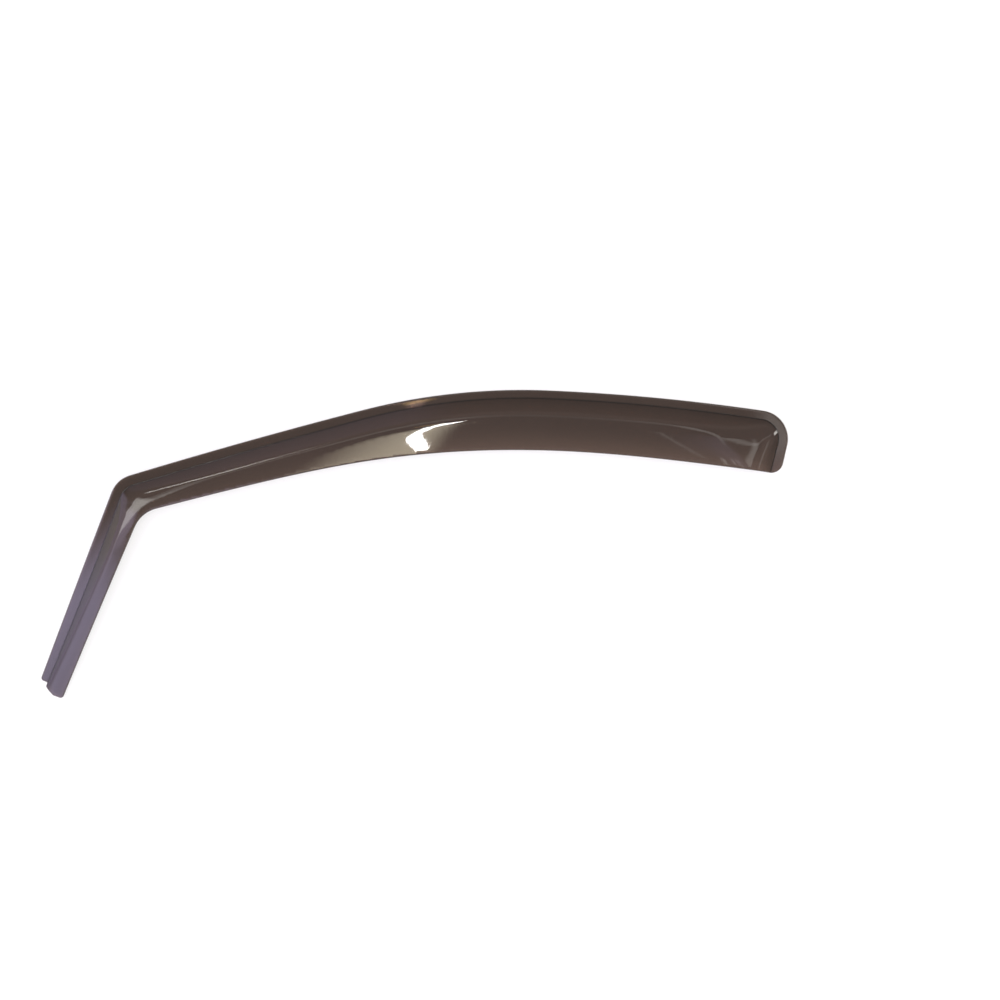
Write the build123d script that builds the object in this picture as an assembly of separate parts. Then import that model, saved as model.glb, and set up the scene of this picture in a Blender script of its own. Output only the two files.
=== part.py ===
from build123d import *
import os
from math import ceil, cos, degrees, hypot, radians, sin, tan

# Sheet of clear smoked acrylic, formed to shape
sheet_thickness = 3.0

# Outer edge in plan, from the virtual front corner at the origin, headings in degrees
leg_heading = 249.15
bar_heading = 16.85
front_radius = 5900.0
front_length = 255.0
bend_radius = 640.0
bend_length = 189.0
rear_radius = 2060.0
rear_length = 246.0
end_heading = -103.1

# Pillar leg, measured from the virtual front corner along its outer edge
leg_flange_length = 214.5
leg_shield_length = 224.2
foot_chamfer_length = 5.5
foot_chamfer_width = 10.0

# Width of the band, square to the outer edge
leg_width_top = 38.0
leg_width_foot = 27.4
bar_width_front = 39.6
bar_width_front_mid = 44.0
bar_width_front_end = 51.9
bar_width_bend_end = 60.6
bar_width_rear = 60.8

# Flange that lies in the glass channel, barrelled like the side glass
flange_width = 10.6
glass_radius = 4500.0
glass_top_y = -57.0

# Raised shield: sloped wall up to a crowned face
wall_angle = 40.0
face_top_y = 20.0
face_height = 15.0
foot_step = 3.0

# Dome of the face, which falls away towards the upper rear corner
rear_fall_heading = 35.0
rear_fall_length = 57.0
rear_fall_step = 2.0
rear_fall_blend = 15.0

# Rounding
core_corner_radius = 1.2
ridge_radius = 6.0
crease_radius = 1.2
inner_corner_radius = 32.0
rear_corner_radius = 12.0
foot_corner_radius = 3.0

# Reach of the forming blocks past the part
reach = 60.0
foot_reach = 4.0
wall_margin = 1.0
wall_bottom = -20.0
face_pitch = 32.0

wall_top = face_height + wall_margin
wall_run = 1 / tan(radians(wall_angle))
wall_lean = 1 / sin(radians(wall_angle))


def wall_inset(z, depth):
    """Distance of the sloped wall from the outer edge, at height z and depth into the sheet."""
    return flange_width + (z - sheet_thickness) * wall_run + depth * wall_lean


def along(heading, distance=1.0):
    """Step of the given length in the plan direction of the heading."""
    return Vector(cos(radians(heading)), sin(radians(heading))) * distance


# The face falls from its highest line to a low step above the flange at the foot
foot_y = along(leg_heading, leg_shield_length).Y
foot_flange_z = sheet_thickness - (foot_y - glass_top_y) ** 2 / (2 * glass_radius)
face_fall = face_height - foot_flange_z - foot_step
face_radius = ((face_top_y - foot_y) ** 2 + face_fall**2) / (2 * face_fall)

# The tightest plan radius is at the top of the wall on the glass side, the others follow from it
corner_radius = core_corner_radius + wall_inset(wall_top - sheet_thickness, sheet_thickness)
front_turn = bar_heading - leg_heading + 180
front_tangent = corner_radius * tan(radians(-front_turn) / 2)
front_arc = degrees((front_length - front_tangent) / front_radius)
bend_arc = degrees(bend_length / bend_radius)
rear_heading = bar_heading - front_arc - bend_arc - degrees(rear_length / rear_radius)
rear_tangent = corner_radius * tan(radians(rear_heading - end_heading) / 2)
rear_arc = degrees((rear_length - rear_tangent) / rear_radius)
rear_turn = end_heading - rear_heading - degrees(rear_tangent / rear_radius)


def outer_chain(inset):
    """Edges a constant inset inside the outer edge, from past the foot to past the lower rear corner."""
    side = along(leg_heading + 90, inset)
    start = along(leg_heading, leg_shield_length + foot_reach) + side
    leg = Line(start, along(leg_heading, front_tangent) + side)
    corner = JernArc(leg @ 1, leg % 1, corner_radius - inset, front_turn)
    front = JernArc(corner @ 1, corner % 1, front_radius - inset, -front_arc)
    bend = JernArc(front @ 1, front % 1, bend_radius - inset, -bend_arc)
    rear = JernArc(bend @ 1, bend % 1, rear_radius - inset, -rear_arc)
    rear_corner = JernArc(rear @ 1, rear % 1, corner_radius - inset, rear_turn)
    end = Line(rear_corner @ 1, rear_corner @ 1 + (rear_corner % 1) * (bar_width_rear + reach))
    return [leg, corner, front, bend, rear, rear_corner, end]


def region(inset):
    """Plan region inside the inset outer edge, closed well beyond the free edge."""
    edges = outer_chain(inset)
    first = edges[0] @ 0
    last = edges[-1] @ 1
    foot_side = first + along(leg_heading + 90, leg_width_top + reach)
    middle = along(leg_heading, bar_width_front + reach) + along(bar_heading, leg_width_top + reach)
    closing = Polyline(last, middle, foot_side, first)
    return make_face(edges + closing.edges())


def barrel_z(y, radius, top_y, top_z):
    """Height of a surface that is round about the X direction."""
    return top_z - radius + (radius**2 - (y - top_y) ** 2) ** 0.5


def flange_z(y):
    return barrel_z(y, glass_radius, glass_top_y, sheet_thickness)


def glass_block(depth):
    """Everything below the barrelled flange, or a depth below it."""
    half = 500.0
    edge_z = barrel_z(glass_top_y + half, glass_radius - depth, glass_top_y, sheet_thickness - depth)
    low = wall_bottom - 20 - depth
    arc = ThreePointArc(
        (0, glass_top_y - half, edge_z),
        (0, glass_top_y, sheet_thickness - depth),
        (0, glass_top_y + half, edge_z),
    )
    skirt = Polyline(arc @ 1, (0, glass_top_y + half, low), (0, glass_top_y - half, low), arc @ 0)
    return extrude(make_face([arc] + skirt.edges()), amount=1000, dir=(1, 0, 0), both=True)


# The dome ends above the crease at the upper rear corner
rear_centre = outer_chain(0)[5].arc_center
fall_end = rear_centre + along(rear_fall_heading, corner_radius - wall_inset(flange_z(rear_centre.Y), 0))
rear_fall = barrel_z(fall_end.Y, face_radius, face_top_y, face_height) - flange_z(fall_end.Y) - rear_fall_step


def eased(distance):
    """Distance into the dome, with a soft start."""
    return (distance + hypot(distance, rear_fall_blend)) / 2


def face_point(x, y, depth):
    """Point of the face, or of the sheet a depth below it."""
    into = (Vector(x, y) - fall_end).dot(along(rear_fall_heading)) + rear_fall_length
    share = eased(into) / eased(rear_fall_length)
    z = barrel_z(y, face_radius, face_top_y, face_height) - rear_fall * share**2
    steepness = 2 * rear_fall * share**2 / hypot(into, rear_fall_blend)
    lean = (y - face_top_y) / (face_radius**2 - (y - face_top_y) ** 2) ** 0.5
    normal = along(rear_fall_heading, steepness) + Vector(0, lean, 1)
    return Vector(x, y, z) - normal.normalized() * depth


def spaced(first, last):
    """Evenly spaced places from first to last, about a face pitch apart."""
    count = ceil((last - first) / face_pitch)
    return [first + (last - first) * i / count for i in range(count + 1)]


def face_block(depth):
    """Everything below the face, or a depth below it."""
    extent = region(wall_inset(wall_bottom, 0)).bounding_box()
    ys = spaced(extent.min.Y - face_pitch, extent.max.Y + face_pitch)
    xs = spaced(extent.min.X - face_pitch, extent.max.X + face_pitch)
    points = [[face_point(x, y, depth) for y in ys] for x in xs]
    face = Face.make_surface_from_array_of_points(points, tol=0.001, min_deg=3, max_deg=5)
    return extrude(face, amount=1000, dir=(0, 0, -1))


def near_outer_edge(edges):
    """Those edges that follow the outer edge, and not the far side of the forming block."""
    rim = Wire(outer_chain(0))
    return [e for e in edges if rim.distance_to(Vertex(e.center().X, e.center().Y, 0)) < corner_radius]


def formed_block(depth):
    """Block under the sheet surface that lies the given depth below the outer one."""
    high_z = wall_top - depth
    low = Plane.XY.offset(wall_bottom) * region(wall_inset(wall_bottom, depth))
    high = Plane.XY.offset(high_z) * region(wall_inset(high_z, depth))
    raised = loft([low, high], ruled=True) & face_block(depth)
    crown = raised.faces().sort_by(Axis.Z)[-1]
    raised = fillet(near_outer_edge(crown.edges()), ridge_radius - depth)
    ground = glass_block(depth)
    block = ground + raised
    creases = near_outer_edge(new_edges(ground, raised, combined=block))
    return fillet(creases, crease_radius + depth)


def inside(edge, share, width):
    """Point the given width inside the outer edge."""
    tangent = edge % share
    return (edge @ share) + Vector(tangent.Y, -tangent.X) * width


def outline():
    """Plan outline of the part, trimmed at the free edge and at the foot."""
    leg, corner, front, bend, rear, rear_corner, end = outer_chain(0)
    across = along(leg_heading + 90)

    # Free edge
    leg_top = across * leg_width_top
    leg_foot = along(leg_heading, leg_shield_length) + across * leg_width_foot
    leg_run = (leg_foot - leg_top).normalized()
    bar_start = along(bar_heading - 90, bar_width_front)
    inner_corner = Axis(bar_start, along(bar_heading)).intersect(Axis(leg_top, leg_run))
    bar = Spline(
        inner_corner,
        inside(front, 0.5, bar_width_front_mid),
        inside(front, 1, bar_width_front_end),
        inside(bend, 1, bar_width_bend_end),
        inside(rear, 1, bar_width_rear),
    )
    past_rear = bar @ 1 + (bar % 1) * reach
    past_foot = leg_foot + leg_run * reach
    far = Vector(past_rear.X, past_foot.Y)
    closing = Polyline(bar @ 1, past_rear, far, past_foot, bar @ 0)
    band = region(0) - make_face([bar] + closing.edges())

    # Foot: the flange stops short of the shield, whose end is cut at a slant
    notch = wall_inset(foot_flange_z, 0)
    foot_points = [
        (leg_flange_length, -reach),
        (leg_flange_length, notch),
        (leg_shield_length - foot_chamfer_length, notch),
        (leg_shield_length, notch + foot_chamfer_width),
        (leg_shield_length, reach),
        (leg_shield_length + reach, reach),
        (leg_shield_length + reach, -reach),
    ]
    corners = [along(leg_heading, a) + across * b for a, b in foot_points]
    band = band - make_face(Polyline(*corners, close=True))

    # Corners in plan
    band = band.faces().sort_by(SortBy.AREA)[-1]
    rounding = [
        (inner_corner, inner_corner_radius),
        (end @ 0.5, rear_corner_radius),
        (along(leg_heading, leg_flange_length), foot_corner_radius),
        (leg_foot, foot_corner_radius),
    ]
    for point, radius in rounding:
        vertex = band.vertices().sort_by_distance(point)[0]
        band = fillet(vertex, radius).face()
    return band


prism = extrude(outline(), amount=2 * reach, both=True)
deflector = (formed_block(0) - formed_block(sheet_thickness)) & prism

# Origin at the bottom centre of the bounding box
box = deflector.bounding_box()
deflector = Pos(-box.center().X, -box.center().Y, -box.min.Z) * deflector
deflector = deflector.solid()
deflector.label = "deflector"

os.makedirs("parts", exist_ok=True)
export_step(deflector, "parts/deflector.step")
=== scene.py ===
import math
from types import SimpleNamespace

import bpy
import numpy as np
from bpy.props import FloatProperty, FloatVectorProperty, PointerProperty
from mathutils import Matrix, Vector
from mathutils.geometry import delaunay_2d_cdt


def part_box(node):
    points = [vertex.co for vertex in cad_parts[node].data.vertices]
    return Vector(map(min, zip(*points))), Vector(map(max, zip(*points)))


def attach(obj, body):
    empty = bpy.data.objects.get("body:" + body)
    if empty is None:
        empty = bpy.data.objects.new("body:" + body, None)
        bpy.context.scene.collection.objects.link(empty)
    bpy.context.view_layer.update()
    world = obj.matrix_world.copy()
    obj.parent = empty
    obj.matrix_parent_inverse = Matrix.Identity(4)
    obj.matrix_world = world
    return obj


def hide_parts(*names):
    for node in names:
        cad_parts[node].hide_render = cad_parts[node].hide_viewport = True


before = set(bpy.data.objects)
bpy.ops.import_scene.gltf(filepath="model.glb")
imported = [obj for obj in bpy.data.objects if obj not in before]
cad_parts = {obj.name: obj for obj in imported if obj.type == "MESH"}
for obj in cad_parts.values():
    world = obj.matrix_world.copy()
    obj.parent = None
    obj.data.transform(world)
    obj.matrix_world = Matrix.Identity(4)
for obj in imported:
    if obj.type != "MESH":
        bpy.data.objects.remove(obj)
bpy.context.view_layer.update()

bl_info = {
    "name": "Window Rain Deflector",
    "version": (1, 0, 0),
    "blender": (4, 5, 0),
    "location": "View3D > Sidebar > Deflector",
    "description": "Smoked acrylic rain deflector for a front side window, with a plain studio stage",
    "category": "Object",
}

MM = 0.001

# Reach of a rounded change-over in height, as a share of its radius
ROUND_SHARE = 0.27

# Share of the flange's slopes that is gone at the rear
REAR_FLANGE_CALM = 0.8

# Lengths in plan over which the sheet's form changes, in millimetres
PAST_END = 40.0
CORNER_EASE = 14.0
CORNER_OVERRUN = 60.0
REAR_OVERRUN = 80.0
CORNER_SPREAD = 60.0
LEG_CROWN_START = 25.0
LEG_CROWN_BLEND = 50.0
CROWN_START = 4.0
CROWN_WIDTH = 32.0
FLANGE_PAST_CREASE = 4.0
REAR_FLANGE_START = 520.0
REAR_FLANGE_BLEND = 60.0
WAVE_BLEND = 8.0

# Forming waves: share of the height, lengths along x and y, phase
FORMING_WAVES = ((1.0, 31.0, 23.0, 0.0), (0.7, 19.0, -37.0, 1.3), (0.5, 53.0, math.inf, 2.1))

# Shares of the painted shade in the fold and of the painted light up the wall
FOLD_SHADE = 0.4
WALL_LIGHT = 0.55

# Lengths over which the painted shade, light and leg reflection change, in millimetres
FOLD_WIDTH = 1.0
FOLD_SHADE_WIDTH = 6.0
RIDGE_LIGHT_WIDTH = 6.0
FREE_SIDE_WIDTH = 34.0
LEG_TINT_START = 40.0
LEG_TINT_BLEND = 90.0

# Spacing of the mesh, in millimetres
RIM_STEP = 1.2
STATION_STEP = 2.0
TIGHT_STATION_STEP = 1.2
GRID_PITCH = 3.2
RIM_CLEARANCE = 0.5
GRID_CLEARANCE = 1.2
ARC_STEP = 0.8
SHORTEST_GAP = 0.25
TIGHT_RADIUS = 100.0
CENTRE_CLEARANCE = 0.8
CLOSEST_POINTS = 0.1
CLOSEST_ROWS = 0.12

# Distance of the grid's rows as a share of its pitch
GRID_ROW_SHARE = 0.866

# Points along the free edge, and neighbours that a rounded corner may take up
FREE_EDGE_POINTS = 420
CORNER_NEIGHBOURS = 40

# First guesses of places in the section, and the least wall, in millimetres
CREASE_GUESS = 9.0
RIDGE_GUESS = 22.0
LEAST_WALL = 1.5

# Rows of mesh points, in millimetres from the edge, the crease and the ridge, and as shares of the wall
FLANGE_ROWS = (2.2, 4.5)
CREASE_ROWS = (-4.5, -3, -2, -1.3, -0.8, -0.4, -0.08, 0.08, 0.4, 0.8, 1.4)
WALL_ROWS = (0.3, 0.5, 0.7)
RIDGE_ROWS = (-3, -2, -1.4, -0.7, 0, 0.7, 1.4, 2.1, 3, 4.5, 6.5)


def length(name, millimetres, description):
    """Size property in metres from a default in millimetres."""
    return FloatProperty(
        name=name, description=description, default=millimetres * MM, unit="LENGTH", precision=5
    )


def heading(name, degrees, description):
    """Angle property from a default in degrees."""
    return FloatProperty(name=name, description=description, default=math.radians(degrees), subtype="ANGLE")


def tint(name, colour, description):
    """Linear colour property."""
    return FloatVectorProperty(
        name=name, description=description, default=colour, size=3, min=0, max=1, subtype="COLOR"
    )


class DeflectorSizes(bpy.types.PropertyGroup):
    """Sizes of the formed sheet."""

    sheet_thickness: length("Sheet Thickness", 3.0, "Thickness of the acrylic sheet")
    leg_heading: heading("Leg Heading", 249.15, "Plan direction of the pillar leg, downwards")
    bar_heading: heading("Bar Heading", 16.85, "Plan direction of the bar at the front corner")
    front_radius: length("Front Radius", 5900.0, "Curve of the bar's front stretch")
    front_length: length("Front Length", 255.0, "Length of the bar's front stretch")
    bend_radius: length("Bend Radius", 640.0, "Curve of the bar over the door's highest point")
    bend_length: length("Bend Length", 189.0, "Length of the bend")
    rear_radius: length("Rear Radius", 2060.0, "Curve of the bar's rear stretch")
    rear_length: length("Rear Length", 246.0, "Length of the bar's rear stretch")
    end_heading: heading("End Heading", -103.1, "Plan direction of the rear end")
    corner_radius: length("Corner Radius", 28.385, "Plan radius of the two outer corners")
    leg_flange_length: length("Leg Flange Length", 214.5, "Length of the flange down the leg")
    leg_shield_length: length("Leg Shield Length", 224.2, "Length of the shield down the leg")
    foot_chamfer_length: length("Foot Slant Length", 5.5, "Length of the foot's slant along the leg")
    foot_chamfer_width: length("Foot Slant Width", 10.0, "Width of the slant at the foot")
    leg_width_top: length("Leg Width at Corner", 38.0, "Width of the leg at the front corner")
    leg_width_foot: length("Leg Width at Foot", 27.4, "Width of the leg at the foot")
    bar_width_front: length("Bar Width at Corner", 39.6, "Width of the bar at the front corner")
    bar_width_front_mid: length("Bar Width in Front", 44.0, "Width halfway along the front stretch")
    bar_width_front_end: length("Bar Width at Bend", 51.9, "Width of the bar where the bend starts")
    bar_width_bend_end: length("Bar Width past Bend", 60.6, "Width of the bar where the bend ends")
    bar_width_rear: length("Bar Width at Rear", 60.8, "Width of the bar at the rear")
    flange_width: length("Flange Width", 10.6, "Width of the flange at the glass's highest line")
    glass_radius: length("Glass Radius", 4500.0, "Barrel curve of the side glass")
    glass_top_y: length("Glass Top Line", -57.0, "Place of the glass's highest line")
    wall_angle: heading("Wall Angle", 40.0, "Slope of the wall between the flange and the face")
    face_top_y: length("Face Top Line", 20.0, "Place of the face's highest line")
    face_height: length("Face Height", 15.0, "Height of the face's highest line above the glass")
    foot_step: length("Foot Step", 3.0, "Height of the face above the flange at the foot")
    ridge_radius: length("Ridge Radius", 6.0, "Rounding of the ridge between wall and face")
    crease_radius: length("Crease Radius", 0.2, "Rounding of the crease between flange and wall")
    inner_corner_radius: length("Inner Corner Radius", 32.0, "Plan radius where the free edges meet")
    rear_corner_radius: length("Rear Corner Radius", 12.0, "Plan radius of the lower rear corner")
    foot_corner_radius: length("Foot Corner Radius", 3.0, "Plan radius of the corners at the foot")
    edge_round: length("Edge Round", 0.7, "Rounding of the flame-polished cut edge")
    rear_fall_heading: heading("Rear Fall Heading", 35.0, "Plan direction in which the face domes down")
    rear_fall_length: length("Rear Fall Length", 57.0, "Length over which the face domes down at the rear")
    rear_fall_step: length("Rear Fall Step", 2.0, "Height of the face above the flange at the rear corner")
    rear_fall_blend: length("Rear Fall Blend", 15.0, "Softness of the start of the dome")
    crown_drop: length("Crown Drop", 1.0, "Fall of the face towards the free edge")
    crown_reach: length("Crown Reach", 8.0, "Width beside the ridge over which the face rounds off")
    crown_reach_corner: length("Corner Crown Reach", 15.0, "The same width at the front corner")
    crown_slope: heading("Crown Slope", 9.0, "Slope of the face where it meets the ridge")
    crown_slope_corner: heading("Corner Crown Slope", 20.0, "The same slope at the front corner")
    crown_slope_leg: heading("Leg Crown Slope", 2.0, "The same slope down the leg")
    flange_slope_edge: heading("Flange Edge Slope", 2.0, "Slope to which the flange thins at its outer edge")
    flange_slope_crease: heading("Flange Crease Slope", 3.4, "Slope of the flange where it meets the crease")
    forming_wave: length("Forming Wave", 0.12, "Height of the slow waves left by forming")


class DeflectorFinish(bpy.types.PropertyGroup):
    """Colours of the smoked acrylic, and of the painted light, shade and reflections mixed into it."""

    smoke: tint("Smoke", (0.066, 0.040, 0.031), "Tint of the sheet at full depth")
    smoke_thin: tint("Thin Smoke", (0.088, 0.056, 0.044), "Tint where forming has drawn the sheet thinner")
    # Painted reflections: the violet leg tints stand in for the violet window mirrored down the leg and its
    # wall, not for a cooler or thinner sheet
    smoke_leg: tint("Leg Smoke", (0.104, 0.086, 0.111), "Cooler tint down the pillar leg")
    smoke_wall: tint("Leg Wall Smoke", (0.128, 0.098, 0.154), "Tint of the leg's wall, drawn thinner")
    # Painted highlight: the cut edge's lighter tint stands in for light that the polished edge catches
    cut_edge: tint("Cut Edge", (0.13, 0.098, 0.086), "Tint of the polished cut edge")
    # Painted light: a lighter tint by the free edge, where the floor lights the sheet from behind, also laid
    # up the wall towards the ridge
    smoke_free: tint("Free Edge Smoke", (0.125, 0.080, 0.062), "Tint by the free edge, lit from behind")
    # Painted shade: the near-black tint along the crease stands in for shade in the fold, not for a thicker
    # sheet
    crease: tint("Crease", (0.002, 0.0012, 0.001), "Tint along the crease, where the sheet is folded thick")


class StageSettings(bpy.types.PropertyGroup):
    """Floor, light and camera."""

    floor: tint("Floor", (0.94, 0.94, 0.94), "Colour of the plain floor")
    view_distance: length("View Distance", 1600.0, "Height of the camera above the part")
    view_width: length("View Width", 1000.0, "Width of floor that the picture shows")
    view_x: length("View Centre X", 85.5, "Place of the picture's centre along the bar")
    view_y: length("View Centre Y", 43.8, "Place of the picture's centre across the bar")


# Plan of the sheet, in millimetres from the virtual front corner


def step(angle):
    """Unit step in a plan direction."""
    return np.array([math.cos(angle), math.sin(angle)])


def right_of(direction):
    """Direction a quarter turn clockwise."""
    return np.array([direction[1], -direction[0]])


class Run:
    """Straight or clockwise stretch of the outer edge."""

    def __init__(self, start, angle, run_length, radius=None):
        self.start = np.array(start, float)
        self.angle = angle
        self.length = run_length
        self.radius = radius
        self.centre = None if radius is None else self.start + right_of(step(angle)) * radius

    def at(self, distance):
        """Point and direction at a distance along the run."""
        if self.radius is None:
            direction = step(self.angle)
            return self.start + direction * distance, direction
        direction = step(self.angle - distance / self.radius)
        return self.centre - right_of(direction) * self.radius, direction

    def end_angle(self):
        """Plan direction at the end of the run."""
        return self.angle if self.radius is None else self.angle - self.length / self.radius

    def onward(self, run_length, radius=None):
        """Run that goes on from the end of this one."""
        point, _ = self.at(self.length)
        return Run(point, self.end_angle(), run_length, radius)

    def inset(self, points):
        """Distance of points inside this run, infinite for points that are not beside it."""
        if self.radius is None:
            direction = step(self.angle)
            away = points - self.start
            along = away @ direction
            beside = (along >= -1e-6) & (along <= self.length + 1e-6)
            return np.where(beside, away @ right_of(direction), np.inf)
        away = points - self.centre
        spread = np.hypot(away[:, 0], away[:, 1])
        outward = np.arctan2(away[:, 1], away[:, 0])
        turned = (self.angle + math.pi / 2 - outward) % (2 * math.pi)
        beside = turned <= self.length / self.radius + 1e-6
        return np.where(beside, self.radius - spread, np.inf)


class Plan:
    """Plan and section of the deflector, worked out from its sizes."""

    def __init__(self, sizes):
        self.mm = SimpleNamespace()
        for name in sizes.__annotations__:
            value = getattr(sizes, name)
            angle = sizes.bl_rna.properties[name].subtype == "ANGLE"
            setattr(self.mm, name, value if angle else value / MM)
        mm = self.mm
        self.leg = step(mm.leg_heading)
        self.across = step(mm.leg_heading + math.pi / 2)
        self.wall_run = 1 / math.tan(mm.wall_angle)
        self.runs = self.outer_runs()

        # The face falls from its highest line to a low step above the flange at the foot
        foot_y = (self.leg * mm.leg_shield_length)[1]
        foot_sag = (foot_y - mm.glass_top_y) ** 2 / (2 * mm.glass_radius)
        self.foot_flange = mm.sheet_thickness - foot_sag
        fall = mm.face_height - self.foot_flange - mm.foot_step
        self.face_radius = ((mm.face_top_y - foot_y) ** 2 + fall**2) / (2 * fall)

        # The dome ends above the crease at the upper rear corner, measured from the face without it
        centre = self.runs[5].centre
        crease = self.wall_inset(self.flange(centre[1]))
        self.fall_end = centre + step(mm.rear_fall_heading) * (mm.corner_radius - crease)
        self.rear_fall = 0.0
        self.rear_fall = self.face(*self.fall_end) - self.flange(self.fall_end[1]) - mm.rear_fall_step

    def outer_runs(self):
        """Stretches of the outer edge, from the end of the leg's flange to past the lower rear corner."""
        mm = self.mm
        corner = mm.corner_radius
        front_turn = mm.leg_heading - math.pi - mm.bar_heading
        front_tangent = corner * math.tan(front_turn / 2)
        front_run = mm.front_length - front_tangent
        rear_angle = (
            mm.bar_heading
            - front_run / mm.front_radius
            - mm.bend_length / mm.bend_radius
            - mm.rear_length / mm.rear_radius
        )
        rear_tangent = corner * math.tan((rear_angle - mm.end_heading) / 2)
        leg_run = mm.leg_flange_length - front_tangent
        leg = Run(self.leg * mm.leg_flange_length, mm.leg_heading - math.pi, leg_run)
        front_corner = leg.onward(corner * front_turn, corner)
        front = front_corner.onward(front_run, mm.front_radius)
        bend = front.onward(mm.bend_length, mm.bend_radius)
        rear = bend.onward(mm.rear_length - rear_tangent, mm.rear_radius)
        rear_corner = rear.onward(corner * (rear.end_angle() - mm.end_heading), corner)
        end = rear_corner.onward(mm.bar_width_rear + PAST_END)
        return [leg, front_corner, front, bend, rear, rear_corner, end]

    def stations(self):
        """Points of the outer edge with their inward directions and the radius there."""
        for run in self.runs:
            tight = run.radius is not None and run.radius < TIGHT_RADIUS
            count = max(2, math.ceil(run.length / (TIGHT_STATION_STEP if tight else STATION_STEP)))
            for i in range(count):
                point, direction = run.at(run.length * i / count)
                yield point, right_of(direction), run.radius

    def inset(self, points):
        """Distance of points from the outer edge."""
        leg = self.runs[0]
        away = points - leg.start
        past_foot = away @ step(leg.angle) < 0
        beside_leg = away @ right_of(step(leg.angle))
        nearest = np.min([run.inset(points) for run in self.runs], axis=0)
        return np.where(past_foot, beside_leg, nearest)

    def broad_inset(self, points):
        """Distance from the leg's and bar's outer edge, eased at the front corner, without the rear end."""
        leg, _, front, bend, rear = self.runs[:5]
        ahead = front.angle + CORNER_OVERRUN / front.radius
        start, _ = front.at(-CORNER_OVERRUN)
        front = Run(start, ahead, front.length + CORNER_OVERRUN, front.radius)
        rear = Run(rear.start, rear.angle, rear.length + REAR_OVERRUN, rear.radius)
        beside_leg = (points - leg.start) @ right_of(step(leg.angle))
        beside_bar = np.min([run.inset(points) for run in (front, bend, rear)], axis=0)
        return soft_min(beside_leg, beside_bar, CORNER_EASE)

    def inside(self, run, share, width):
        """Point the given width inside a run of the outer edge."""
        point, direction = self.runs[run].at(self.runs[run].length * share)
        return point + right_of(direction) * width

    def free_edge(self):
        """Free edge of the bar from the inner corner to past the rear, and the leg's corner at the foot."""
        mm = self.mm
        leg_top = self.across * mm.leg_width_top
        leg_foot = self.leg * mm.leg_shield_length + self.across * mm.leg_width_foot
        bar_step = step(mm.bar_heading)
        bar_start = right_of(bar_step) * mm.bar_width_front
        leg_step = (leg_foot - leg_top) / np.linalg.norm(leg_foot - leg_top)
        distances = np.linalg.solve(np.array([bar_step, -leg_step]).T, leg_top - bar_start)
        knots = [
            bar_start + bar_step * distances[0],
            self.inside(2, 0.5, mm.bar_width_front_mid),
            self.inside(2, 1.0, mm.bar_width_front_end),
            self.inside(3, 1.0, mm.bar_width_bend_end),
            self.inside(4, 1.0, mm.bar_width_rear),
        ]
        bar = smooth_curve(np.array(knots), FREE_EDGE_POINTS)
        ahead = (bar[-1] - bar[-2]) / np.linalg.norm(bar[-1] - bar[-2])
        beyond = bar[-1] + ahead * np.arange(1, PAST_END)[:, None]
        return np.vstack([bar, beyond]), leg_foot

    def outline(self):
        """Closed outline, clockwise from the end of the leg's flange, with rounded corners."""
        mm = self.mm
        bar, leg_foot = self.free_edge()

        # Lower rear corner, where the free edge meets the rear end
        end = self.runs[-1]
        end_step = step(end.angle)
        beside = (bar - end.start) @ right_of(end_step)
        crossing = int(np.argmax(beside < 0))
        share = beside[crossing - 1] / (beside[crossing - 1] - beside[crossing])
        meeting = bar[crossing - 1] + (bar[crossing] - bar[crossing - 1]) * share
        reach = (meeting - end.start) @ end_step
        edge = []
        for point, _, _ in self.stations():
            away = point - end.start
            if away @ end_step < reach - RIM_CLEARANCE or away @ right_of(end_step) > RIM_CLEARANCE:
                edge.append(point)

        # Foot: the flange stops short of the shield, whose end is cut at a slant
        notch = self.wall_inset(self.foot_flange)
        shield, slant = mm.leg_shield_length, mm.foot_chamfer_length
        small = mm.foot_corner_radius
        foot = [
            (leg_foot, small),
            (self.leg * shield + self.across * (notch + mm.foot_chamfer_width), small * 0.5),
            (self.leg * (shield - slant) + self.across * notch, small / 3),
            (self.leg * mm.leg_flange_length + self.across * notch, small * 0.3),
            (self.leg * mm.leg_flange_length, small),
        ]
        path = [(point, 0) for point in edge[1:]]
        path.append((meeting, mm.rear_corner_radius))
        path += [(point, 0) for point in bar[1:crossing][::-1]]
        path.append((bar[0], mm.inner_corner_radius))
        return even_spacing(rounded_path(path + foot), RIM_STEP)

    def flange(self, y):
        """Height of the flange."""
        return self.mm.sheet_thickness + barrel(y - self.mm.glass_top_y, self.mm.glass_radius)

    def face(self, x, y):
        """Height of the face before its edges are rounded off."""
        mm = self.mm
        ahead = step(mm.rear_fall_heading)
        along = (x - self.fall_end[0]) * ahead[0] + (y - self.fall_end[1]) * ahead[1]
        share = self.eased(along + mm.rear_fall_length) / self.eased(mm.rear_fall_length)
        return mm.face_height + barrel(y - mm.face_top_y, self.face_radius) - self.rear_fall * share**2

    def eased(self, distance):
        """Distance into the dome, with a soft start."""
        return (distance + np.hypot(distance, self.mm.rear_fall_blend)) / 2

    def wall_inset(self, height):
        """Distance of the wall from the outer edge at a height."""
        return self.mm.flange_width + (height - self.mm.sheet_thickness) * self.wall_run

    def crown(self, x, y):
        """Reach and slope of the rounding beside the ridge, which is widest at the front corner."""
        mm = self.mm
        corner = self.runs[1].centre
        near = np.exp(-((x - corner[0]) ** 2 + (y - corner[1]) ** 2) / CORNER_SPREAD**2)
        reach = mm.crown_reach + (mm.crown_reach_corner - mm.crown_reach) * near
        slope = mm.crown_slope + (mm.crown_slope_corner - mm.crown_slope) * near
        down = np.clip((-y - LEG_CROWN_START) / LEG_CROWN_BLEND, 0, 1)
        return reach, np.tan(slope + (mm.crown_slope_leg - slope) * down)

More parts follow.
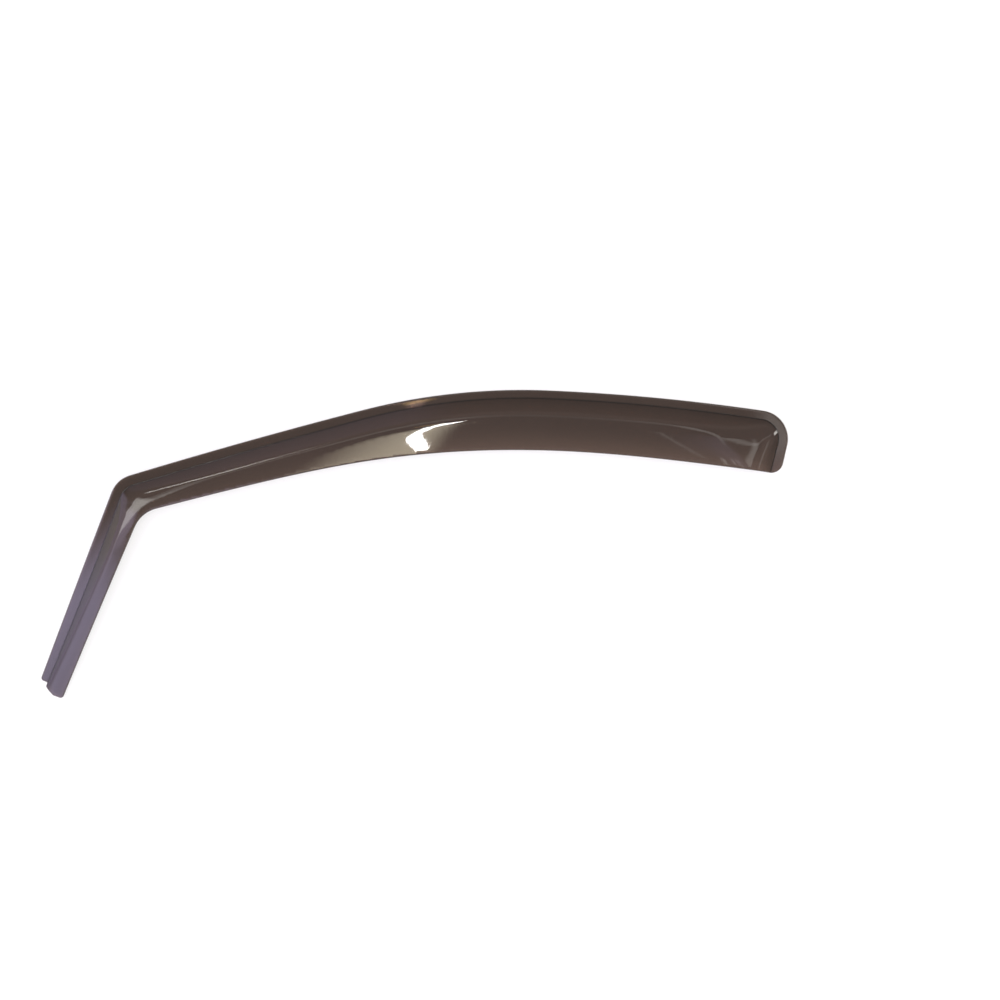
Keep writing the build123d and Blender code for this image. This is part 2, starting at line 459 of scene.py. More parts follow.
    def face_fall(self, x, y, inset, broad, ridge):
        """Fall of the face towards the ridge and the free edge, with the forming waves."""
        mm = self.mm
        past = np.clip((broad - ridge - CROWN_START) / CROWN_WIDTH, 0, None)
        reach, slope = self.crown(x, y)
        beside = np.clip(1 - (np.minimum(inset, broad) - ridge) / reach, 0, None)
        wave = 0
        for share, along, over, phase in FORMING_WAVES:
            wave = wave + share * np.sin(x / along + y / over + phase)
        height = mm.forming_wave / sum(share for share, _, _, _ in FORMING_WAVES)
        crown = mm.crown_drop * past**2 + slope * reach / 2 * beside**2
        return crown + height * wave * soft_share(past * CROWN_WIDTH / WAVE_BLEND)

    def thinned_flange(self, x, inset, glass, crease):
        """Height of the flange, which thins towards its outer edge and less so at the rear."""
        mm = self.mm
        width = mm.flange_width
        calm = 1 - REAR_FLANGE_CALM * np.clip((x - REAR_FLANGE_START) / REAR_FLANGE_BLEND, 0, 1)
        low = math.tan(mm.flange_slope_edge) * calm
        high = math.tan(mm.flange_slope_crease) * calm
        past = inset - crease
        across = np.clip(1 + past / width, 0, 1)
        bend = across**2 * width / 2 + np.clip(past, 0, FLANGE_PAST_CREASE)
        return glass + low * np.minimum(past, FLANGE_PAST_CREASE) + (high - low) * bend

    def marks(self, y, inset, broad, crease, ridge):
        """Shares that tell the finish where to lay its painted shade in the fold, its painted light by the
        free edge and up the wall, and its painted violet reflection down the leg.
        """
        past = inset - crease
        # Painted shade: a dark line along the crease, and shade that fades a little way up the wall
        fold = np.exp(-(((past - 0.3 * FOLD_WIDTH) / FOLD_WIDTH) ** 2))
        shade = FOLD_SHADE * np.exp(-((past / FOLD_SHADE_WIDTH) ** 2)) * (past > 0)
        # Painted light that grows up the wall to the ridge and fades past it, joined below by the painted
        # light by the free edge
        up_wall = np.clip(past / np.maximum(ridge - crease, 1), 0, 1)
        over_ridge = np.clip(WALL_LIGHT - (inset - ridge) / RIDGE_LIGHT_WIDTH, 0, 1)
        lighter = np.where(inset < ridge, WALL_LIGHT * up_wall**1.5, over_ridge)
        # Where the painted reflection of the violet window goes: down the leg, and strongest on the leg's
        # wall
        down_leg = soft_share((-y - LEG_TINT_START) / LEG_TINT_BLEND)
        on_wall = np.clip(up_wall * 6, 0, 1) * np.clip((1 - up_wall) * 4, 0, 1)
        return {
            "crease": np.maximum(fold, shade),
            "free_side": np.maximum(lighter, np.clip((broad - ridge) / FREE_SIDE_WIDTH, 0, 1)),
            "down_leg": down_leg,
            "leg_wall": on_wall * down_leg**2,
        }

    def surfaces(self, points):
        """Heights of the outer and the glass side at plan points, and the marks that the finish uses."""
        mm = self.mm
        x, y = points[:, 0], points[:, 1]
        thick = mm.sheet_thickness
        inset, broad = self.inset(points), self.broad_inset(points)
        glass, face = self.flange(y), self.face(x, y)
        crease, ridge = self.wall_inset(glass), self.wall_inset(face)
        wall = thick + (inset - mm.flange_width) / self.wall_run
        soft_face = face - self.face_fall(x, y, inset, broad, ridge)
        sides = []
        for depth, flange in ((0.0, self.thinned_flange(x, inset, glass, crease)), (thick, glass - thick)):
            sloped = wall - depth / math.cos(mm.wall_angle)
            raised = soft_min(sloped, soft_face - depth, (mm.ridge_radius - depth) * ROUND_SHARE)
            sides.append(-soft_min(-flange, -raised, (mm.crease_radius + depth) * ROUND_SHARE))
        return sides[0], sides[1], self.marks(y, inset, broad, crease, ridge)

    def ridge_inset(self, point, inward):
        """Distance of the ridge from the outer edge, measured inward from a point of that edge."""
        inset = RIDGE_GUESS
        for _ in range(8):
            x, y = point + inward * inset
            reach, slope = self.crown(x, y)
            inset = self.wall_inset(self.face(x, y) - slope * reach / 2)
        return inset

    def rows(self):
        """Plan points that follow the flange, crease, wall and ridge."""
        for point, inward, radius in self.stations():
            crease = self.wall_inset(self.flange(point[1] + inward[1] * CREASE_GUESS))
            ridge = max(self.ridge_inset(point, inward), crease + LEAST_WALL)
            insets = list(FLANGE_ROWS)
            insets += [crease + offset for offset in CREASE_ROWS]
            insets += [crease + (ridge - crease) * share for share in WALL_ROWS]
            insets += [ridge + offset for offset in RIDGE_ROWS]
            last = -1.0
            for inset in sorted(insets):
                if radius is not None and inset > radius - CENTRE_CLEARANCE:
                    break
                if inset - last > CLOSEST_ROWS:
                    last = inset
                    yield point + inward * inset


def barrel(offset, radius):
    """Height of a round surface below its highest line."""
    return np.sqrt(radius**2 - np.square(offset)) - radius


def soft_min(first, second, reach):
    """Smaller of two heights with a rounded change-over."""
    overlap = np.clip(reach - np.abs(first - second), 0, None)
    return np.minimum(first, second) - overlap**2 / (4 * reach)


def soft_share(value):
    """Share from 0 to 1 with a soft start and end."""
    share = np.clip(value, 0, 1)
    return share * share * (3 - 2 * share)


def smooth_curve(knots, count):
    """Natural cubic curve through the knots, spaced by their distances."""
    gaps = np.linalg.norm(np.diff(knots, axis=0), axis=1)
    places = np.concatenate([[0], np.cumsum(gaps)])
    last = len(knots) - 1
    system = np.eye(last + 1)
    target = np.zeros((last + 1, 2))
    for i in range(1, last):
        system[i, i - 1 : i + 2] = gaps[i - 1], 2 * (gaps[i - 1] + gaps[i]), gaps[i]
        slopes = np.diff(knots[i - 1 : i + 2], axis=0) / gaps[i - 1 : i + 1, None]
        target[i] = 6 * (slopes[1] - slopes[0])
    bends = np.linalg.solve(system, target)
    where = np.linspace(0, places[-1], count)
    k = np.clip(np.searchsorted(places, where, side="right") - 1, 0, last - 1)
    gap = gaps[k][:, None]
    left = (places[k + 1] - where)[:, None]
    done = (where - places[k])[:, None]
    return (
        bends[k] * left**3 / (6 * gap)
        + bends[k + 1] * done**3 / (6 * gap)
        + (knots[k] / gap - bends[k] * gap / 6) * left
        + (knots[k + 1] / gap - bends[k + 1] * gap / 6) * done
    )


def corner_arc(corner, before, after, radius):
    """Arc that rounds a corner between two neighbours, and the length that it takes from either side."""
    back = (before - corner) / np.linalg.norm(before - corner)
    ahead = (after - corner) / np.linalg.norm(after - corner)
    half = math.acos(np.clip(back @ ahead, -1, 1)) / 2
    tangent = radius / math.tan(half)
    centre = corner + (back + ahead) / np.linalg.norm(back + ahead) * radius / math.sin(half)
    first, last = corner + back * tangent - centre, corner + ahead * tangent - centre
    turn = math.atan2(first[0] * last[1] - first[1] * last[0], first @ last)
    steps = max(4, math.ceil(abs(turn) * radius / ARC_STEP))
    arc = []
    for k in range(steps + 1):
        cosine, sine = math.cos(turn * k / steps), math.sin(turn * k / steps)
        turned = (first[0] * cosine - first[1] * sine, first[0] * sine + first[1] * cosine)
        arc.append(centre + np.array(turned))
    return arc, tangent


def rounded_path(path):
    """Closed path whose marked corners are rounded by arcs that replace what lies within their tangents."""
    points = [np.array(point, float) for point, _ in path]
    count = len(points)
    closest = 3.0
    skip = set()
    arcs = {}
    for i, (_, radius) in enumerate(path):
        if not radius:
            continue
        corner = points[i]
        before = points[i - 1] if np.linalg.norm(points[i - 1] - corner) > closest else points[i - 2]
        after = points[(i + 1) % count]
        if np.linalg.norm(after - corner) < closest and path[(i + 1) % count][1] == 0:
            after = points[(i + 2) % count]
        arcs[i], tangent = corner_arc(corner, before, after, radius)
        for j in range(1, CORNER_NEIGHBOURS):
            for near in ((i - j) % count, (i + j) % count):
                if path[near][1] == 0 and np.linalg.norm(points[near] - corner) < tangent:
                    skip.add(near)
    done = []
    for i in range(count):
        if i in arcs:
            done += arcs[i]
        elif i not in skip:
            done.append(points[i])
    return np.array(done)


def even_spacing(points, spacing):
    """Closed path with its longer gaps divided and its shortest ones dropped."""
    kept = [points[0]]
    for point in list(points[1:]) + [points[0]]:
        gap = np.linalg.norm(point - kept[-1])
        if gap < SHORTEST_GAP:
            continue
        parts = max(1, round(gap / spacing))
        kept += [kept[-1] + (point - kept[-1]) * (k + 1) / parts for k in range(parts)]
    return np.array(kept[:-1])


def outward_of(ring):
    """Outward direction at each point of a clockwise ring."""
    ahead = np.roll(ring, -1, axis=0) - ring
    ahead /= np.linalg.norm(ahead, axis=1)[:, None]
    left = np.stack([-ahead[:, 1], ahead[:, 0]], axis=1)
    normal = left + np.roll(left, 1, axis=0)
    return normal / np.maximum(np.linalg.norm(normal, axis=1), 1e-9)[:, None]


def within(points, ring, margin):
    """Which points lie inside the ring by at least the margin."""
    start, end = ring, np.roll(ring, -1, axis=0)
    rise = end[:, 1] - start[:, 1]
    rise = np.where(np.abs(rise) < 1e-12, 1e-12, rise)
    keep = np.zeros(len(points), bool)
    batch = 2000
    for first in range(0, len(points), batch):
        some = points[first : first + batch]
        x, y = some[:, 0:1], some[:, 1:2]
        spans = (start[:, 1] > y) != (end[:, 1] > y)
        cross = start[:, 0] + (y - start[:, 1]) * (end[:, 0] - start[:, 0]) / rise
        inside = (spans & (x < cross)).sum(axis=1) % 2 == 1
        away = np.sqrt(np.min((x - start[:, 0]) ** 2 + (y - start[:, 1]) ** 2, axis=1))
        keep[first : first + batch] = inside & (away > margin)
    return keep


def uncrowded(points, gap):
    """Points with any that crowd an earlier one left out."""
    taken = {}
    kept = []
    around = [(dx, dy) for dx in (-1, 0, 1) for dy in (-1, 0, 1)]
    for point in points:
        column, row = math.floor(point[0] / gap), math.floor(point[1] / gap)
        near = [other for dx, dy in around for other in taken.get((column + dx, row + dy), ())]
        if all((point[0] - other[0]) ** 2 + (point[1] - other[1]) ** 2 >= gap * gap for other in near):
            taken.setdefault((column, row), []).append(point)
            kept.append(point)
    return np.array(kept)


def plan_points(plan, ring):
    """Mesh points inside the ring: rows that follow the section, and an even grid over the face."""
    rows = np.array(list(plan.rows()))
    rows = rows[within(rows, ring, RIM_CLEARANCE)]
    low, high = ring.min(axis=0), ring.max(axis=0)
    grid = []
    for j, y in enumerate(np.arange(low[1], high[1], GRID_PITCH * GRID_ROW_SHARE)):
        for x in np.arange(low[0] + (j % 2) * GRID_PITCH / 2, high[0], GRID_PITCH):
            grid.append((x, y))
    grid = np.array(grid)
    grid = grid[within(grid, ring, GRID_CLEARANCE)]
    ridge = plan.wall_inset(plan.face(grid[:, 0], grid[:, 1]))
    grid = grid[plan.inset(grid) > ridge + RIDGE_ROWS[-1]]
    return uncrowded(np.vstack([rows, grid]), CLOSEST_POINTS)


def rounded_rim(ring, normal, radius, at_top, at_under):
    """Rings of points that round the cut edge, from the outer side to the glass side."""
    upper, lower = [], []
    for degrees in (22.5, 45, 67.5, 90):
        turn = math.radians(degrees)
        spread = ring + normal * radius * math.sin(turn)
        drop = radius * (1 - math.cos(turn))
        upper.append(np.column_stack([spread, at_top - drop]))
        lower.insert(0, np.column_stack([spread, at_under + drop]))
    return upper + lower


def sheet_mesh(plan):
    """Vertices, faces and finish marks of the formed sheet, in millimetres."""
    radius = plan.mm.edge_round
    edge = plan.outline()
    normal = outward_of(edge)
    ring = edge - normal * radius
    flat = [Vector(point) for point in ring] + [Vector(point) for point in plan_points(plan, ring)]
    count = len(ring)
    border = [(i, (i + 1) % count) for i in range(count)]
    verts, _, faces, origin, _, _ = delaunay_2d_cdt(flat, border, [], 1, 1e-5)
    placed = {source: index for index, sources in enumerate(origin) for source in sources}
    plan_xy = np.array([(vertex[0], vertex[1]) for vertex in verts])
    outer, glass, marks = plan.surfaces(plan_xy)
    total = len(plan_xy)

    # Outer side, glass side, and the rim between their borders
    polygons = []
    for face in faces:
        polygons.append(tuple(face))
        polygons.append(tuple(total + vertex for vertex in reversed(face)))
    loops = [[placed[i] for i in range(count)]]
    rim = rounded_rim(ring, normal, radius, outer[loops[0]], glass[loops[0]])
    start = 2 * total
    for k in range(len(rim)):
        loops.append([start + k * count + i for i in range(count)])
    loops.append([total + vertex for vertex in loops[0]])
    for upper, lower in zip(loops[:-1], loops[1:]):
        for i, j in border:
            polygons.append((upper[i], upper[j], lower[j], lower[i]))
    vertices = np.vstack([np.column_stack([plan_xy, outer]), np.column_stack([plan_xy, glass])] + rim)

    # Marks for the finish: the rim, which is rougher and carries a painted highlight, and the places of the
    # painted light and shade
    cut_edge = np.zeros(len(vertices))
    cut_edge[start:] = 1.0
    cut_edge[loops[0]] = 0.6
    cut_edge[loops[-1]] = 0.6
    shown = {"cut_edge": cut_edge}
    for name, values in marks.items():
        shown[name] = np.concatenate([values, values] + [values[loops[0]]] * len(rim))
    # The painted crease shade lies on the outer side only
    shown["crease"][total:] = 0
    return vertices, polygons, shown


# Finish


class Value:
    """A shader socket that takes part in Python arithmetic."""

    def __init__(self, maker, socket):
        self.maker = maker
        self.socket = socket

    def other(self, name):
        """Another output of the same node."""
        return Value(self.maker, self.socket.node.outputs[name])

    def __add__(self, other):
        return self.maker.math("ADD", self, other)

    __radd__ = __add__

    def __sub__(self, other):
        return self.maker.math("SUBTRACT", self, other)

    def __rsub__(self, other):
        return self.maker.math("SUBTRACT", other, self)

    def __mul__(self, other):
        return self.maker.math("MULTIPLY", self, other)

    __rmul__ = __mul__

    def __truediv__(self, other):
        return self.maker.math("DIVIDE", self, other)

    def __rtruediv__(self, other):
        return self.maker.math("DIVIDE", other, self)


class Nodes:
    """Adds nodes to one node tree."""

    def __init__(self, tree):
        self.tree = tree
        tree.nodes.clear()

    def add(self, kind, settings=None, sockets=None, output=0):
        """New node with its settings made first, then its sockets set or linked."""
        node = self.tree.nodes.new(kind)
        for name, value in (settings or {}).items():
            setattr(node, name, value)
        for name, value in (sockets or {}).items():
            if isinstance(value, Value):
                self.tree.links.new(value.socket, node.inputs[name])
            else:
                node.inputs[name].default_value = value
        return Value(self, node.outputs[output]) if len(node.outputs) else None

    def math(self, operation, first, second):
        """Math node with two inputs."""
        return self.add("ShaderNodeMath", {"operation": operation}, {0: first, 1: second})

    def mix(self, share, first, second):
        """Mix of two colours."""
        sockets = {"Factor": share, 6: first, 7: second}
        return self.add("ShaderNodeMix", {"data_type": "RGBA"}, sockets, output=2)

    def noise(self, place, scale, detail, roughness):
        """Noise through the material's depth."""
        sockets = {"Vector": place, "Scale": scale, "Detail": detail, "Roughness": roughness}
        return self.add("ShaderNodeTexNoise", {"noise_dimensions": "3D"}, sockets)

    def mark(self, name):
        """Share that the mesh carries under a name."""
        return self.add("ShaderNodeAttribute", {"attribute_name": name}, output="Fac")


def rgba(colour):
    """Colour with full opacity."""
    return (colour[0], colour[1], colour[2], 1.0)


def new_material(name):
    """Empty material and its nodes."""
    material = bpy.data.materials.new(name)
    material.use_nodes = True
    return material, Nodes(material.node_tree)


def smoked_acrylic(finish):
    """Clear brown-smoked acrylic, polished, with a faint haze from forming, and painted reflections, light
    and shade mixed into its colour.
    """
    material, nodes = new_material("smoked_acrylic")
    place = nodes.add("ShaderNodeTexCoord", output="Object")
    cloud = nodes.noise(place, 9.0, 2.0, 0.45)
    haze = nodes.noise(place, 140.0, 3.0, 0.6)
    peel = nodes.noise(place, 420.0, 1.0, 0.4)
    edge, free = nodes.mark("cut_edge"), nodes.mark("free_side")
    colour = nodes.mix(cloud, rgba(finish.smoke), rgba(finish.smoke_thin))
    # Painted reflection: violet tints down the leg and on its wall
    colour = nodes.mix(nodes.mark("down_leg"), colour, rgba(finish.smoke_leg))
    colour = nodes.mix(nodes.mark("leg_wall"), colour, rgba(finish.smoke_wall))
    # Painted light by the free edge and up the wall to the ridge
    colour = nodes.mix(free * free, colour, rgba(finish.smoke_free))
    # Painted shade along the crease
    colour = nodes.mix(nodes.mark("crease"), colour, rgba(finish.crease))
    # Painted highlight on the cut edge
    colour = nodes.mix(edge * 0.7, colour, rgba(finish.cut_edge))
    bump = nodes.add("ShaderNodeBump", None, {"Strength": 0.008, "Distance": 0.0004, "Height": peel})
    shader = nodes.add(
        "ShaderNodeBsdfPrincipled",
        None,
        {
            "Base Color": colour,
            "Roughness": 0.01 + haze * 0.025 + edge * 0.12,
            "IOR": 1.49,
            "Transmission Weight": 1.0,
            "Normal": bump,
        },
    )
    nodes.add("ShaderNodeOutputMaterial", None, {"Surface": shader})
    return material


class DEFLECTOR_OT_sheet(bpy.types.Operator):
    """Build the formed acrylic sheet over its CAD solid"""

    bl_idname = "deflector.sheet"
    bl_label = "Formed Sheet"

    def execute(self, context):
        plan = Plan(context.scene.deflector_sizes)
        vertices, polygons, marks = sheet_mesh(plan)
        low, high = vertices.min(axis=0), vertices.max(axis=0)
        cad_low, cad_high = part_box("deflector")
        middle = (np.array(cad_low) + np.array(cad_high)) / 2 / MM
        shift = middle - (low + high) / 2
        shift[2] = cad_low[2] / MM - low[2]
        mesh = bpy.data.meshes.new("formed_sheet")
        mesh.from_pydata([tuple(vertex) for vertex in (vertices + shift) * MM], [], polygons)
        mesh.validate()
        for name, values in marks.items():
            attribute = mesh.attributes.new(name, "FLOAT", "POINT")
            attribute.data.foreach_set("value", values.astype(np.float32))
        mesh.polygons.foreach_set("use_smooth", [True] * len(mesh.polygons))
        mesh.update()
        sheet = bpy.data.objects.new("formed_sheet", mesh)
        context.scene.collection.objects.link(sheet)
        mesh.materials.append(smoked_acrylic(context.scene.deflector_finish))
        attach(sheet, "root")
        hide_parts("deflector")
        return {"FINISHED"}


# Stage


class Studio:
    """Light cards on a flat ceiling at unit height, whose mirror images the part shows."""

    def __init__(self, nodes):
        self.nodes = nodes
        ray = nodes.add("ShaderNodeTexCoord")
        self.east = nodes.add("ShaderNodeSeparateXYZ", None, {"Vector": ray})
        self.north = self.east.other("Y")
        self.up = self.east.other("Z")
        height = nodes.math("MAXIMUM", self.up, 0.02)
        self.x = self.east / height
        self.y = self.north / height

    def fade(self, value, none, full):
        """Share that runs softly from none to full."""
        return self.nodes.add(
            "ShaderNodeMapRange",
            {"interpolation_type": "SMOOTHSTEP"},
            {"Value": value, "From Min": none, "From Max": full},
        )

    def between(self, value, start, full, still, end):
        """Share that rises from start to full and falls from still to end."""
        return self.fade(value, start, full) * self.fade(value, end, still)

    def bar(self, value, place, width):
        """Narrow band with soft sides."""
        core = width * 0.4
        return self.between(value, place - width, place - core, place + core, place + width)

    def side_window(self):
        """Violet daylight beside the leg, with a low pane past the bar and a patch over the rear."""
        x, y = self.x, self.y
        turned = x + 0.25
        below = self.nodes.math("MINIMUM", turned, 0.0) * 1.15
        above = self.nodes.math("MAXIMUM", turned, 0.0) * 0.6
        pane = self.fade(x, -0.06, -0.12) * self.fade(y + below + above, -0.04, -0.19)
        pane = pane * self.fade(self.north + self.east * 0.5, 0.10, -0.10) * self.fade(y, -0.8, -0.6)
        pane = pane * (1.3 + self.fade(x, -1.2, -0.5) * 1.45 + self.bar(x, -0.34, 0.07) * 0.5)
        away = self.nodes.math("SQRT", (x - 0.2) * (x - 0.2) + y * y, 0.0)
        far = self.fade(self.east + self.north * 0.15, 0.05, -0.12)
        far = far * self.fade(self.north, 0.5, 0.8) * self.fade(self.up, 0.4, 0.25)
        return pane + self.fade(away, 0.11, 0.03) * 0.5 + far * 0.3

    def ridge_strip(self):
        """Long strip whose image runs along the bar's ridge, dimmer over the bend."""
        x, y = self.x, self.y
        strip = self.between(y, 0.26, 0.32, 0.48, 0.55) * self.between(x, -0.9, -0.7, 0.12, 0.17)
        return strip * (0.35 + self.fade((x - 0.04) * (x - 0.04), 0.0015, 0.012) * 0.65)

    def corner_card(self):
        """Slanted card that lights the front corner."""
        x, y = self.x + 0.23, self.y - 0.02
        along = x * -0.8 + y * 0.6
        across = x * 0.6 + y * 0.8
        return self.between(along, 0.24, 0.38, 0.85, 1.0) * self.fade(across * across, 0.045, 0.012)

    def ridge_card(self):
        """Low card that draws the bright line on the front ridge."""
        return self.between(self.x, -0.80, -0.70, -0.53, -0.46) * self.between(self.y, 0.85, 0.95, 1.2, 1.3)

    def golden_card(self):
        """Small warm card over the flange."""
        return self.bar(self.x, -0.067, 0.016) * self.between(self.y, 0.198, 0.206, 0.214, 0.224)

    def rear_tubes(self):
        """Two tubes whose images swing over the rear dome."""
        x, y = self.x, self.y
        near = self.bar(y + x * 2.9, 0.685, 0.1) * self.between(x, 0.13, 0.15, 0.21, 0.225)
        far = self.bar(y - x * 0.58, -0.05, 0.010) * self.between(x, 0.21, 0.225, 1.1, 1.3)
        return near * self.fade(y, 0.03, 0.08) + far * (1.0 + self.fade(x, 0.8, 1.1) * 0.8)

    def rear_thread(self):
        """Thin line across the rear of the face."""
        line = self.bar(self.x + self.y * 0.24, 0.108, 0.0028)
        return line * self.between(self.y, -0.085, -0.06, 0.04, 0.06)

    def rear_slats(self):
        """Short blinds and two slanted slats near the rear end."""
        x, y = self.x, self.y
        blinds = self.bar(x, 0.15, 0.007) + self.bar(x, 0.187, 0.007)
        blinds = blinds + self.bar(x, 0.21, 0.005) + self.bar(x, 0.226, 0.005)
        blinds = blinds * self.fade(y, -0.13, -0.11) * self.fade(y - x * 0.6, -0.135, -0.155)
        near = self.bar(y - x, -0.285, 0.04) * self.between(x, 0.27, 0.3, 0.5, 0.6)
        far = self.bar(y - x * 1.08, -0.745, 0.09) * self.between(x, 0.6, 0.68, 0.9, 1.05)
        return blinds + near + far * 0.6

    def rear_glint(self):
        """Small low light that glints in the upper rear corner."""
        east, north = self.east - 0.9, self.north - 0.36
        return self.fade(east * east + north * north, 0.005, 0.001)

    def glow(self):
        """Soft glow around the bright streak on the bar."""
        strip = self.between(self.x, -0.115, -0.045, -0.044, -0.016)
        return strip * self.between(self.y, -0.2, -0.1, 0.09, 0.15)

    def white_cards(self):
        """All white cards at their strengths."""
        cards = self.ridge_strip() * 0.9 + self.corner_card() * 4.5 + self.ridge_card() * 10.0
        cards = cards + self.rear_tubes() * 1.4 + self.rear_thread() * 0.8
        return cards + self.rear_slats() * 1.8 + self.rear_glint() * 9.0


class DEFLECTOR_OT_stage(bpy.types.Operator):
    """Add the floor, the lamps and the camera"""

    bl_idname = "deflector.stage"
    bl_label = "Stage"

    def execute(self, context):
        scene = context.scene
        settings = scene.deflector_stage
        self.floor(scene, settings)
        self.world(scene)
        softboxes = [
            ("front_softbox", (0.25, -2.2, 1.9), (0.05, 0.0, 0), (2.2, 1.4), 40.0, (1.0, 0.98, 0.95)),
            ("side_softbox", (2.4, 0.2, 1.7), (0.1, 0.05, 0), (1.6, 1.6), 24.0, (1.0, 0.98, 0.96)),
        ]
        for softbox in softboxes:
            self.softbox(scene, *softbox)
        lamp_height = 1.6
        self.curved_lamp(scene, Vector((settings.view_x, settings.view_y, lamp_height)))
        self.camera(scene, settings)
        scene.view_settings.view_transform = "Standard"
        return {"FINISHED"}

    def floor(self, scene, settings):
        """Plain pale floor that shows white and keeps the part's shadow."""
        mesh = bpy.data.meshes.new("floor")
        half = 4.0
        corners = [(-half, -half, 0), (half, -half, 0), (half, half, 0), (-half, half, 0)]
        mesh.from_pydata(corners, [], [(0, 1, 2, 3)])
        floor = bpy.data.objects.new("floor", mesh)
        scene.collection.objects.link(floor)
        material, nodes = new_material("floor")
        camera_ray = nodes.add("ShaderNodeLightPath")
        seen = camera_ray + camera_ray.other("Is Glossy Ray") + camera_ray.other("Is Transmission Ray")
        lit = nodes.add("ShaderNodeBsdfDiffuse", None, {"Color": rgba(settings.floor)})
        white = nodes.add("ShaderNodeEmission", None, {"Color": (1, 1, 1, 1), "Strength": 1.0})
        white_share = 0.6
        share = nodes.math("MINIMUM", seen, 1.0) * white_share
        shader = nodes.add("ShaderNodeMixShader", None, {0: share, 1: lit, 2: white})
        nodes.add("ShaderNodeOutputMaterial", None, {"Surface": shader})
        mesh.materials.append(material)
        gap = 0.4 * MM
        floor.location.z = -gap

    def world(self, scene):
        """Studio that lights the floor and mirrors in the part, and is white where it is seen directly."""
        world = bpy.data.worlds.new("studio")
        world.use_nodes = True
        scene.world = world
        nodes = Nodes(world.node_tree)
        studio = Studio(nodes)
        walls = 0.3 + studio.fade(studio.up, 0.05, 0.45) * 0.2
        mirrored = [
            ((1.0, 0.985, 0.97, 1), walls),
            ((0.80, 0.69, 1.0, 1), studio.side_window()),
            ((1.0, 0.98, 0.93, 1), studio.white_cards()),
            ((1.0, 0.66, 0.25, 1), studio.golden_card() * 5.0),
            ((1.0, 0.9, 0.68, 1), studio.glow() * 6.5),
        ]
        cards = None
        for colour, strength in mirrored:
            card = nodes.add("ShaderNodeBackground", None, {"Color": colour, "Strength": strength})
            cards = card if cards is None else nodes.add("ShaderNodeAddShader", None, {0: cards, 1: card})
        white = nodes.add("ShaderNodeBackground", None, {"Color": (1, 1, 1, 1), "Strength": 1.0})
        camera_ray = nodes.add("ShaderNodeLightPath")
        seen = nodes.math("MINIMUM", camera_ray + camera_ray.other("Is Transmission Ray"), 1.0)
        light = nodes.add("ShaderNodeMixShader", None, {0: seen, 1: cards, 2: white})
        nodes.add("ShaderNodeOutputWorld", None, {"Surface": light})

    def softbox(self, scene, name, place, aim, size, power, colour):
        """Large soft lamp that the part doesn't mirror."""
        light = bpy.data.lights.new(name, "AREA")
        light.shape = "RECTANGLE"
        light.size, light.size_y = size
        light.energy = power
        light.color = colour
        lamp = bpy.data.objects.new(name, light)
        lamp.location = place
        lamp.rotation_euler = (Vector(aim) - Vector(place)).to_track_quat("-Z", "Y").to_euler()
        lamp.visible_glossy = False
        scene.collection.objects.link(lamp)

    def curved_lamp(self, scene, centre):
        """Slender bent panel overhead, whose mirror image is the bright streak on the bar."""
        rows = [
            (-0.055, -0.138, -0.122),
            (0.00, -0.157, -0.122),
            (0.05, -0.172, -0.130),
            (0.10, -0.179, -0.144),
            (0.15, -0.174, -0.148),
            (0.20, -0.166, -0.143),
            (0.25, -0.165, -0.133),
            (0.30, -0.160, -0.120),
            (0.34, -0.150, -0.100),
            (0.39, -0.130, -0.080),
        ]
        count = 19
        left_side = smooth_curve(np.array([(left, y) for y, left, _ in rows]), count)
        right_side = smooth_curve(np.array([(right, y) for y, _, right in rows]), count)
        corners = []
        for left, right in zip(left_side, right_side):
            corners += [centre + Vector((*left, 0)), centre + Vector((*right, 0))]
        panes = [(2 * i, 2 * i + 2, 2 * i + 3, 2 * i + 1) for i in range(count - 1)]
        mesh = bpy.data.meshes.new("curved_lamp")
        mesh.from_pydata(corners, [], panes)
        material, nodes = new_material("curved_lamp")
        glow = nodes.add("ShaderNodeEmission", None, {"Color": (1.0, 0.99, 0.97, 1), "Strength": 45.0})
        nodes.add("ShaderNodeOutputMaterial", None, {"Surface": glow})
        mesh.materials.append(material)
        lamp = bpy.data.objects.new("curved_lamp", mesh)
        lamp.visible_camera = False
        scene.collection.objects.link(lamp)

    def camera(self, scene, settings):
        """Camera straight above the part."""
        camera = bpy.data.cameras.new("camera")
        camera.sensor_width = 36.0
        camera.lens = camera.sensor_width * settings.view_distance / settings.view_width
        eye = bpy.data.objects.new("camera", camera)
        flange_level = 4 * MM
        eye.location = (settings.view_x, settings.view_y, settings.view_distance + flange_level)
        scene.collection.objects.link(eye)
        scene.camera = eye


class DEFLECTOR_PT_panel(bpy.types.Panel):
    """Sizes, colours and steps of the deflector"""

    bl_idname = "DEFLECTOR_PT_panel"
    bl_label = "Rain Deflector"
    bl_space_type = "VIEW_3D"
    bl_region_type = "UI"
    bl_category = "Deflector"

    def draw(self, context):
        layout = self.layout
        for group in ("deflector_sizes", "deflector_finish", "deflector_stage"):
            box = layout.box()
            values = getattr(context.scene, group)
            for name in values.__annotations__:
                box.prop(values, name)
        layout.operator(DEFLECTOR_OT_sheet.bl_idname)
        layout.operator(DEFLECTOR_OT_stage.bl_idname)


CLASSES = (
    DeflectorSizes,
    DeflectorFinish,
    StageSettings,
    DEFLECTOR_OT_sheet,
    DEFLECTOR_OT_stage,
    DEFLECTOR_PT_panel,
)


def register():
    for each in CLASSES:
        bpy.utils.register_class(each)
    bpy.types.Scene.deflector_sizes = PointerProperty(type=DeflectorSizes)
    bpy.types.Scene.deflector_finish = PointerProperty(type=DeflectorFinish)
    bpy.types.Scene.deflector_stage = PointerProperty(type=StageSettings)


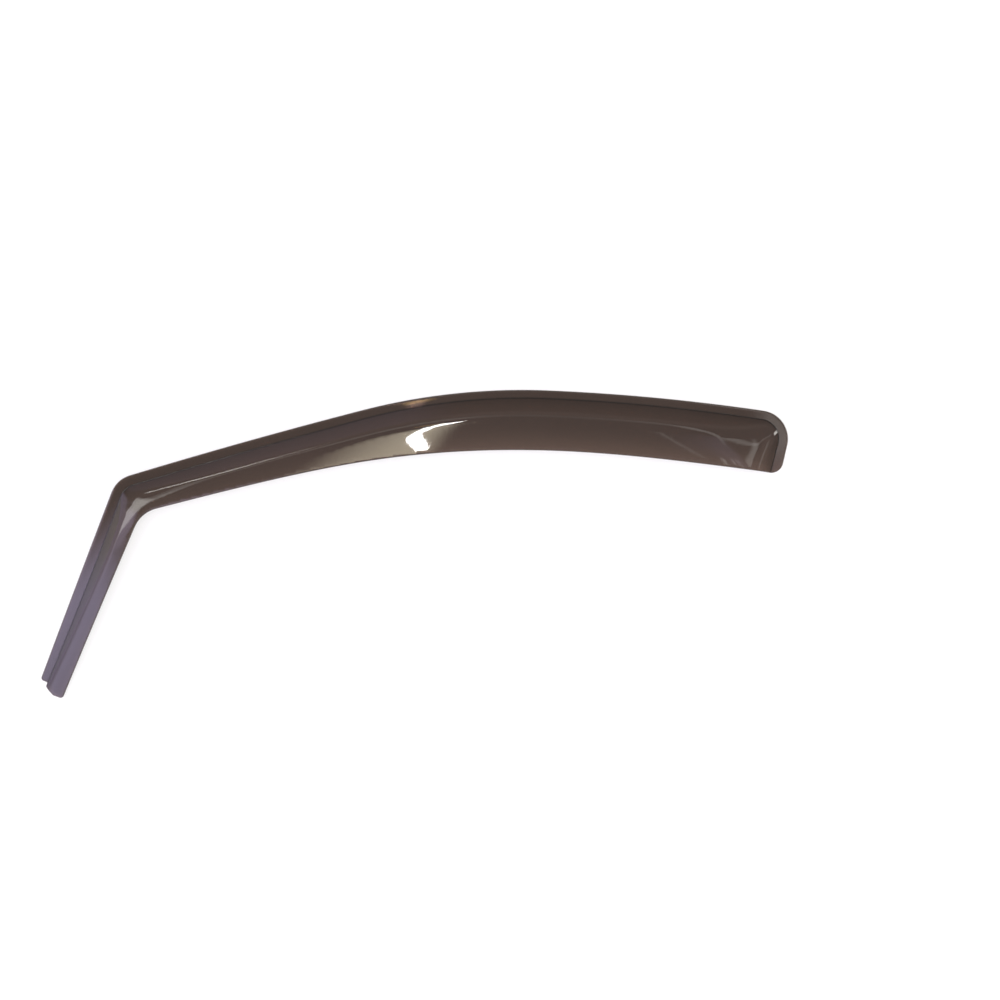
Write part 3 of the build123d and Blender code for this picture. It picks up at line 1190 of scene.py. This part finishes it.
def unregister():
    del bpy.types.Scene.deflector_stage
    del bpy.types.Scene.deflector_finish
    del bpy.types.Scene.deflector_sizes
    for each in reversed(CLASSES):
        bpy.utils.unregister_class(each)


def main():
    register()
    bpy.ops.deflector.sheet()
    bpy.ops.deflector.stage()


if __name__ == "__main__":
    main()
